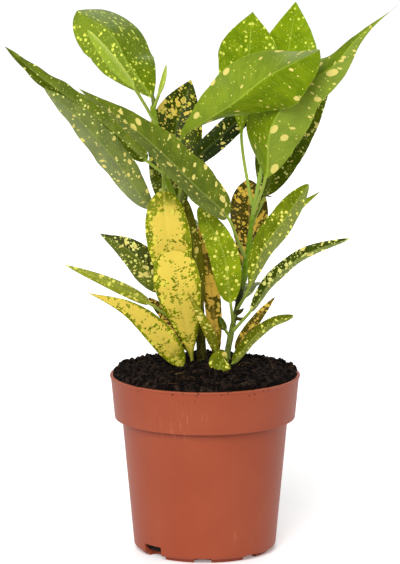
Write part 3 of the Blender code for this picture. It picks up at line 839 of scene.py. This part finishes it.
pot = dict(
    rimRadius=60.3, rimHeight=113, lipDepth=1.6,
    collarTop=59.7, collarFoot=57.3, collarFootHeight=85.5, collarStep=0.8,
    bodyTop=52.6, bodyFoot=45.4, bodyFootHeight=5, footStep=44.2, footStepHeight=2.6, foot=41.5,
    wall=1.4, footRing=3.5, baseRecess=2, centrePad=12, padHollow=0.6,
    rounding=0.4, lipCut=(0.5, 0.3), outOfRound=0.12, sharpDegrees=32, sides=144,
    slots=8, slotSize=(11, 9, 6.8), tallSlot=(1.36, 1, 2.5), slotTurn=-2,
)


def softened(profile, reach, steps=4):
    # rounds each inner corner of a line of (radius, height) points
    points = [Vector((r, z)) for r, z in profile]
    line = [points[0]]
    for before, corner, after in zip(points, points[1:], points[2:]):
        into = min(reach, (corner - before).length * 0.45)
        outOf = min(reach, (after - corner).length * 0.45)
        start = corner + (before - corner).normalized() * into
        end = corner + (after - corner).normalized() * outOf
        for i in range(steps + 1):
            share = i / steps
            line.append(start.lerp(corner, share).lerp(corner.lerp(end, share), share))
    return line + [points[-1]]


def revolved(bm, profile, sides):
    # a closed solid from (radius, height) points that start and end on the axis
    rings = []
    for radius, height in profile:
        if radius < weld:
            rings.append([bm.verts.new((0, 0, height))])
            continue
        rings.append([bm.verts.new((radius * math.cos(turn), radius * math.sin(turn), height))
                      for turn in (math.tau * i / sides for i in range(sides))])
    for lower, upper in zip(rings, rings[1:]):
        for i in range(sides):
            j = (i + 1) % sides
            corners = [lower[i % len(lower)], lower[j % len(lower)],
                       upper[j % len(upper)], upper[i % len(upper)]]
            bm.faces.new(list(dict.fromkeys(corners)))
    return rings


def potProfile():
    p = pot
    ring = p["foot"] - p["footRing"]
    recess = p["baseRecess"]
    base = [(0, p["padHollow"]), (p["centrePad"], 0), (p["centrePad"] + recess, recess),
            (ring - recess, recess), (ring, 0), (p["foot"], 0), (p["foot"], p["footStepHeight"])]
    cornerHeight = p["bodyFootHeight"] - p["footStepHeight"]
    corner = [(p["footStep"] + (p["bodyFoot"] - p["footStep"]) * math.sin(turn),
               p["bodyFootHeight"] - cornerHeight * math.cos(turn))
              for turn in (math.pi * i / 16 for i in range(9))]
    bodyTopHeight = p["collarFootHeight"] - p["collarStep"]
    lipFoot = p["rimHeight"] - p["lipDepth"]
    cutIn, cutDown = p["lipCut"]
    outside = [(p["bodyTop"], bodyTopHeight), (p["collarFoot"], p["collarFootHeight"]),
               (p["collarTop"], lipFoot), (p["rimRadius"], lipFoot + p["rounding"]),
               (p["rimRadius"], p["rimHeight"] - cutDown),
               (p["rimRadius"] - cutIn, p["rimHeight"])]
    inner = p["wall"]
    inside = [(p["collarTop"] - inner, p["rimHeight"]),
              (p["collarFoot"] - inner, p["collarFootHeight"] + inner),
              (p["bodyTop"] - inner, bodyTopHeight + inner),
              (p["bodyFoot"] - inner, p["bodyFootHeight"] + inner),
              (p["foot"], p["footStepHeight"] + inner), (0, p["footStepHeight"] + inner)]
    profile = softened(base + corner + outside + inside, p["rounding"])
    return [(max(radius, 0) * mm, height * mm) for radius, height in profile]


slotInputs = {"Count": 8, "Ring radius": 0.04, "Turn": 0.0, "Size": (0.01, 0.01, 0.005),
              "Tall": (1.0, 1.0, 1.0), "Finish": None}


def slotTree():
    # drain slots cut round the corner of the base, every fourth of them a tall one
    tree, start = newTree("drain slots", slotInputs)
    given = start.output
    block = start.node("GeometryNodeMeshCube", {
        "Size": given("Size"), "Vertices X": 5, "Vertices Y": 5, "Vertices Z": 3})
    ring = start.node("GeometryNodeMeshCircle", {
        "Vertices": given("Count"), "Radius": given("Ring radius")})
    index = start.node("GeometryNodeInputIndex")
    turn = index * math.tau / given("Count") + math.pi / 2
    tall = index.math("MODULO", index, 4.0)
    tall = tall.above(2.5)      # the fourth of each four
    wider, _, higher = given("Tall").split()
    blocks = start.node("GeometryNodeInstanceOnPoints", {
        "Points": ring, "Instance": block, "Rotation": start.joined(0.0, 0.0, turn),
        "Scale": start.joined(1.0 + tall * (wider - 1.0), 1.0, 1.0 + tall * (higher - 1.0))})
    blocks = start.node("GeometryNodeTransform", {
        "Geometry": blocks, "Rotation": start.joined(0.0, 0.0, given("Turn"))})
    blocks = start.node("GeometryNodeRealizeInstances", {"Geometry": blocks})
    endTree(start, start.node("GeometryNodeMeshBoolean", {0: start, 1: blocks},
                              operation="DIFFERENCE", solver="EXACT"))
    return tree


def potMaterial():
    made, start, shader = newMaterial("terracotta plastic", Specular_IOR_Level=0.2)
    place = start.place()
    x, y, z = place.split()
    clouds = place.clouds(22.0, 3.0, 0.55)
    fine = place.clouds(900.0, 2.0, 0.6)
    flow = start.joined(x * 900.0, y * 900.0, z * 30.0).clouds(1.0, 3.0, 0.6)
    shown = colour(start, tone(142, 63, 37)).mixed(clouds.rise(0.3, 0.7) * 0.5, tone(152, 73, 46))
    # painted shade in the angle under the collar, a painted highlight along the top of the rim, and
    # a darker foot
    collar = pot["collarFootHeight"] * mm
    rim = pot["rimHeight"] * mm
    collarShadeBand = z.rise(collar - 3 * mm, collar - mm) * z.rise(collar, collar - 0.5 * mm)
    shown = shown.mixed(collarShadeBand * 0.5, tone(110, 44, 26))
    # a painted highlight along the top of the rim
    shown = shown.mixed(z.rise(rim - 1.2 * mm, rim) * 0.15, tone(206, 132, 104))
    shown = shown.mixed(z.rise(6 * mm, 0.0) * 0.25, tone(130, 60, 42))
    scuffs = flow.rise(0.56, 0.7) * clouds.rise(0.56, 0.7)
    shown = shown.mixed(scuffs * 0.3, tone(204, 130, 102))
    # soil that sticks below the rim
    stuck = (0.30 - place.cells(330.0) + fine * 0.12).rise(0.10, 0.14)
    stuck = stuck * z.rise(rim - 9.5 * mm, rim - 0.5 * mm)
    stuck = stuck * place.clouds(60.0, 2.0, 0.5).rise(0.5, 0.6)
    shown = shown.mixed(stuck * 0.9, tone(40, 24, 18))
    rough = 0.42 + clouds * 0.1 + scuffs * 0.15 + stuck * 0.4
    dressed(start, shader, shown, rough, 0.18, 0.2, fine * 0.6 + flow * 0.4)
    return made


def makePot():
    bm = bmesh.new()
    revolved(bm, potProfile(), pot["sides"])
    bmesh.ops.recalc_face_normals(bm, faces=bm.faces)
    # thin plastic is never quite round
    for vert in bm.verts:
        turn = math.atan2(vert.co.y, vert.co.x)
        give = pot["outOfRound"] * mm * math.sin(2 * turn + 0.6)
        give *= vert.co.z / (pot["rimHeight"] * mm)
        vert.co.xy *= 1 + give / (pot["rimRadius"] * mm)
    finish = potMaterial()
    host = meshPiece("pot blank", bm, finish)
    piece = grown("pot_shell", host, slotTree(), {
        "Count": pot["slots"], "Ring radius": pot["foot"] * mm, "Tall": pot["tallSlot"],
        "Turn": math.radians(pot["slotTurn"] - 90),
        "Size": tuple(size * mm for size in pot["slotSize"]), "Finish": finish})
    piece.data.set_sharp_from_angle(angle=math.radians(pot["sharpDegrees"]))
    finished(piece, "pot_plastic", "pot")
    print("pot: turned, slots cut")


soil = dict(
    edgeHeight=113.2, edgeDepth=2, shoulder=2.6, shoulderSteep=30, mound=6.4, moundSteep=4,
    moundAt=(0, -9), lumps=1.2, floor=4.2, clear=0.05, footClear=0.3, shelfClear=0.1,
    rings=56, sides=160, openAbove=104, openArea=0.0102,      # this area in square metres
)

# The lumps on it, large to small: how high, how wide, and where in the noise they are taken.
soilLumps = ((1.3, 11, (0, 0, 0)), (1.1, 5.2, (7, 3, 1)), (0.8, 2.6, (1, 9, 4)),
             (0.4, 1.3, (0, 0, 0)))

# What lies on the soil: how many of each, their radii in millimetres, and how far out, in metres.
soilBits = {
    "soil_crumbs": dict(Count=3800, Smallest=0.25, Largest=1.1, Detail=1, Ragged=0.5,
                        Reach=0.0594, Seed=4),
    "soil_clods": dict(Count=800, Smallest=0.8, Largest=2.5, Detail=2, Ragged=0.9,
                       Reach=0.0582, Seed=5),
    "soil_fibres": dict(Count=40, Seed=6),
}


def soilTop(x, y, edge):
    # the soil's surface in millimetres: a shoulder inside the rim, a mound and lumps
    share = min(math.hypot(x, y) / edge, 1)
    shoulder = soil["shoulder"] * min((1 - share) * soil["shoulderSteep"], 1)
    middle = min(math.hypot(x - soil["moundAt"][0], y - soil["moundAt"][1]) / edge, 1)
    mound = soil["mound"] * (1 + math.cos(math.pi * middle)) / 2
    mound *= min((1 - share) * soil["moundSteep"], 1)
    lumps = sum(height * noise.noise(Vector((x, y, 0)) / width + Vector(shift))
                for height, width, shift in soilLumps)
    return soil["edgeHeight"] + shoulder + mound + lumps * soil["lumps"]


def makeSoilMass(finish):
    p = pot
    inner = p["wall"] + soil["clear"]
    shelf = p["collarFootHeight"] + p["wall"]
    rise = (soil["edgeHeight"] - shelf) / (p["rimHeight"] - shelf)
    edge = p["collarFoot"] + (p["collarTop"] - p["collarFoot"]) * rise - inner
    over = shelf + soil["shelfClear"]
    wall = [(0, soil["floor"]), (p["foot"], soil["floor"]),
            (p["bodyFoot"] - inner, p["bodyFootHeight"] + inner + soil["footClear"]),
            (p["bodyTop"] - inner, over - p["collarStep"]),
            (p["collarFoot"] - inner, over), (edge, soil["edgeHeight"] - soil["edgeDepth"])]
    top = [(edge * i / soil["rings"], soil["edgeHeight"]) for i in range(soil["rings"], -1, -1)]
    bm = bmesh.new()
    rings = revolved(bm, [(r * mm, z * mm) for r, z in wall + top], soil["sides"])
    for ring in rings[len(wall):]:
        for vert in ring:
            vert.co.z = soilTop(vert.co.x / mm, vert.co.y / mm, edge) * mm
    bmesh.ops.recalc_face_normals(bm, faces=bm.faces)
    return meshPiece("soil_mass", bm, finish)


crumbInputs = {"Count": 1000.0, "Smallest": 0.4, "Largest": 1.4, "Detail": 1, "Ragged": 0.4,
               "Reach": 0.056, "Seed": 1, "Finish": None}


def drawn(start, low, high, seed):
    # a random number or vector for each point
    if isinstance(low, tuple):
        return start.node("FunctionNodeRandomValue", {0: low, 1: high, "Seed": seed},
                          data_type="FLOAT_VECTOR")
    return start.node("FunctionNodeRandomValue", {2: low, 3: high, "Seed": seed}, 1,
                      data_type="FLOAT")


def scattered(start, given):
    # points on the open top of the soil
    normal = start.node("GeometryNodeInputNormal")
    _, _, facingUp = normal.split()
    x, y, height = start.node("GeometryNodeInputPosition").split()
    out = (x * x + y * y) ** 0.5
    openTop = (facingUp.above(0.2)
               * height.above(soil["openAbove"] * mm)
               * out.below(given("Reach")))
    return start.node("GeometryNodeDistributePointsOnFaces", {
        "Mesh": start, "Selection": openTop, "Density": given("Count") / soil["openArea"],
        "Seed": given("Seed")})


def crumbTree():
    tree, start = newTree("soil crumbs", crumbInputs)
    given = start.output
    points = scattered(start, given)
    ball = start.node("GeometryNodeMeshIcoSphere", {
        "Radius": mm, "Subdivisions": given("Detail")})
    spin = drawn(start, (0.0, 0.0, 0.0), (math.tau, math.tau, math.tau), 11)
    squash = drawn(start, (0.6, 0.6, 0.5), (1.3, 1.1, 0.9), 12)
    share = drawn(start, 0.0, 1.0, 13)
    size = given("Smallest") + (given("Largest") - given("Smallest")) * share ** 2.0
    crumbs = start.node("GeometryNodeInstanceOnPoints", {
        "Points": points, "Instance": ball, "Rotation": spin, "Scale": squash.scaled(size)})
    crumbs = start.node("GeometryNodeRealizeInstances", {"Geometry": crumbs})
    place = start.node("GeometryNodeInputPosition")
    bump = place.node("ShaderNodeTexNoise", {
        "Vector": place, "Scale": 900.0, "Detail": 1.0}, "Color")
    shift = bump.vector("SUBTRACT", (0.5, 0.5, 0.5)).scaled(given("Ragged") * 2 * mm)
    crumbs = start.node("GeometryNodeSetPosition", {"Geometry": crumbs, "Offset": shift})
    endTree(start, crumbs)
    return tree


fibreInputs = {"Count": 200.0, "Length": 0.009, "Radius": 0.0001, "Reach": 0.054, "Seed": 3,
               "Finish": None}


def fibreTree():
    tree, start = newTree("soil fibres", fibreInputs)
    given = start.output
    points = scattered(start, given)
    half = given("Length") * 0.5
    arc = start.node("GeometryNodeCurveQuadraticBezier", {
        "Resolution": 6, "Start": start.joined(-1.0 * half, 0.0, 0.0),
        "Middle": start.joined(0.0, half * 0.6, half * 0.5),
        "End": start.joined(half, 0.0, -0.3 * half)})
    ring = start.node("GeometryNodeCurvePrimitiveCircle", {
        "Resolution": 4, "Radius": given("Radius")})
    strand = start.node("GeometryNodeCurveToMesh", {
        "Curve": arc, "Profile Curve": ring, "Fill Caps": True})
    spin = drawn(start, (-0.5, -0.5, 0.0), (0.5, 0.5, math.tau), 21)
    share = drawn(start, 0.5, 1.6, 22)
    strands = start.node("GeometryNodeInstanceOnPoints", {
        "Points": points, "Instance": strand, "Rotation": spin, "Scale": share})
    endTree(start, strands)
    return tree


def peatMaterial(name, dark, light, rust):
    made, start, shader = newMaterial(name, Specular_IOR_Level=0.1)
    place = start.place()
    clouds = place.clouds(260.0, 4.0, 0.65)
    spots = place.clouds(700.0, 3.0, 0.6)
    shown = colour(start, dark).mixed(clouds.rise(0.46, 0.7), light)
    shown = shown.mixed(spots.rise(0.62, 0.7) * 0.7, rust)
    dressed(start, shader, shown, 0.88 + spots * 0.1, 0.8, 0.6, clouds + spots * 0.5)
    return made


def makeSoil():
    peat = peatMaterial("peat", tone(6, 3, 2), tone(56, 42, 32), tone(72, 38, 24))
    root = peatMaterial("pale root", tone(92, 68, 44), tone(140, 114, 78), tone(76, 50, 32))
    mass = makeSoilMass(peat)
    finished(mass, "peat_soil", "soil")
    crumbs = crumbTree()
    fibres = fibreTree()
    for name, values in soilBits.items():
        host = placed(name, mass.data.copy())
        fibrous = name == "soil_fibres"
        piece = grown(name, host, fibres if fibrous else crumbs, {
            **values, "Finish": root if fibrous else peat})
        finished(piece, "peat_soil")
    print("soil: mass, crumbs, clods and fibres")


studio = dict(
    floor=tone(252, 252, 252), floorShade=tone(240, 240, 242), floorGlow=0.2, reach=60,
    sky=0.46, sunStrength=2.7, sunSoftness=34, sunFrom=(-0.25, -1.0, 0.74),
    backPower=14, backSize=1.4, backFrom=(0.1, 1.6, 1.5), backAim=(0, 0, 0.22),
    sensor=36, lens=286.2, eye=(-0.00315, -1.98, 0.516), tilt=80.143,
)


def makeFloor():
    bm = bmesh.new()
    bmesh.ops.create_grid(bm, x_segments=1, y_segments=1, size=studio["reach"])
    made, start, shader = newMaterial("studio floor", Emission_Color=(1, 1, 1, 1),
                                      Emission_Strength=studio["floorGlow"])
    place = start.place()
    shown = colour(start, studio["floor"]).mixed(
        place.clouds(3.0) * 0.05, studio["floorShade"])
    start.feed(shader["Base Color"], shown)
    start.feed(shader["Roughness"], 0.8 + place.clouds(40.0) * 0.1)
    meshPiece("studio_floor", bm, made)


def softLight(name, place, aim, size, power):
    data = bpy.data.lights.new(name, "AREA")
    data.shape = "DISK"
    data.size = size
    data.energy = power
    light = placed(name, data)
    light.location = place
    light.rotation_euler = (Vector(aim) - Vector(place)).to_track_quat("-Z", "Y").to_euler()


def makeStudio():
    world = bpy.data.worlds.new("soft studio")
    world.use_nodes = True
    background = world.node_tree.nodes["Background"]
    background.inputs["Color"].default_value = (1, 1, 1, 1)
    background.inputs["Strength"].default_value = studio["sky"]
    scene.world = world
    scene.view_settings.view_transform = "Standard"
    data = bpy.data.lights.new("key", "SUN")
    data.energy = studio["sunStrength"]
    data.angle = math.radians(studio["sunSoftness"])
    light = placed("key", data)
    light.rotation_euler = Vector(studio["sunFrom"]).to_track_quat("Z", "Y").to_euler()
    softLight("back", studio["backFrom"], studio["backAim"], studio["backSize"],
              studio["backPower"])

    lens = bpy.data.cameras.new("camera")
    lens.sensor_fit = "HORIZONTAL"
    lens.sensor_width = studio["sensor"]
    lens.lens = studio["lens"]
    lens.clip_end = studio["reach"]
    camera = placed("camera", lens)
    camera.location = studio["eye"]
    camera.rotation_euler = (math.radians(studio["tilt"]), 0, 0)
    scene.camera = camera
    print("studio: floor, lights and camera")


makeStudio()
makeFloor()
makePot()
makeSoil()
makeStems()
makeLeaves()
